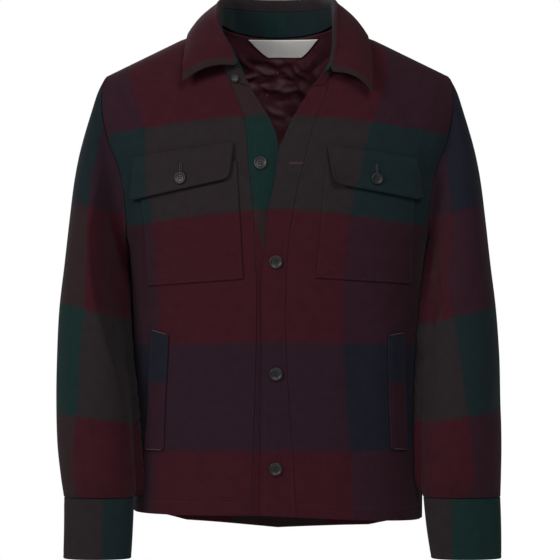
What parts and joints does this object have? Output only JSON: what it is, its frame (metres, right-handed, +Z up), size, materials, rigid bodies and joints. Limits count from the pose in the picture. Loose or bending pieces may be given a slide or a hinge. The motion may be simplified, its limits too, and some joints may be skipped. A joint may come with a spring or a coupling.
{
  "type": "shirt jacket",
  "caption": "Hollow worn men's shirt jacket in checked wool: spread collar, button front open at the neck, flapped chest pockets, slanted hand pockets and cuffed sleeves.",
  "frame": {"origin": "middle of the neck base, between the shoulder points, where the wearer's neck and shoulders hold the garment", "axes": "+Z up along the body, -Y out of the fronts, +X towards the wearer's left sleeve"},
  "size_m": [0.6212, 0.2643, 0.7935],
  "materials": {
    "wool": "brushed wool check in burgundy, green, navy and grey",
    "lining": "quilted taffeta with a soft sheen",
    "label": "woven satin tape, bare",
    "button": "satin resin"
  },
  "bodies": {
    "root": {"back": "wool", "front_left": "wool", "front_right": "wool", "placket_left": "wool", "placket_right": "wool", "collar_stand": "wool", "collar_leaf": "wool", "sleeve_left": "wool", "sleeve_right": "wool", "cuff_left": "wool", "cuff_right": "wool", "chest_pocket_left": "wool", "chest_pocket_right": "wool", "flap_left": "wool", "flap_right": "wool", "welt_left": "wool", "welt_right": "wool", "back_lining": "lining", "neck_label": "label", "button_front_1": "button", "button_front_2": "button", "button_front_3": "button", "button_front_4": "button", "button_flap_left": "button", "button_flap_right": "button", "button_neck": "button"}
  },
  "joints": []
}
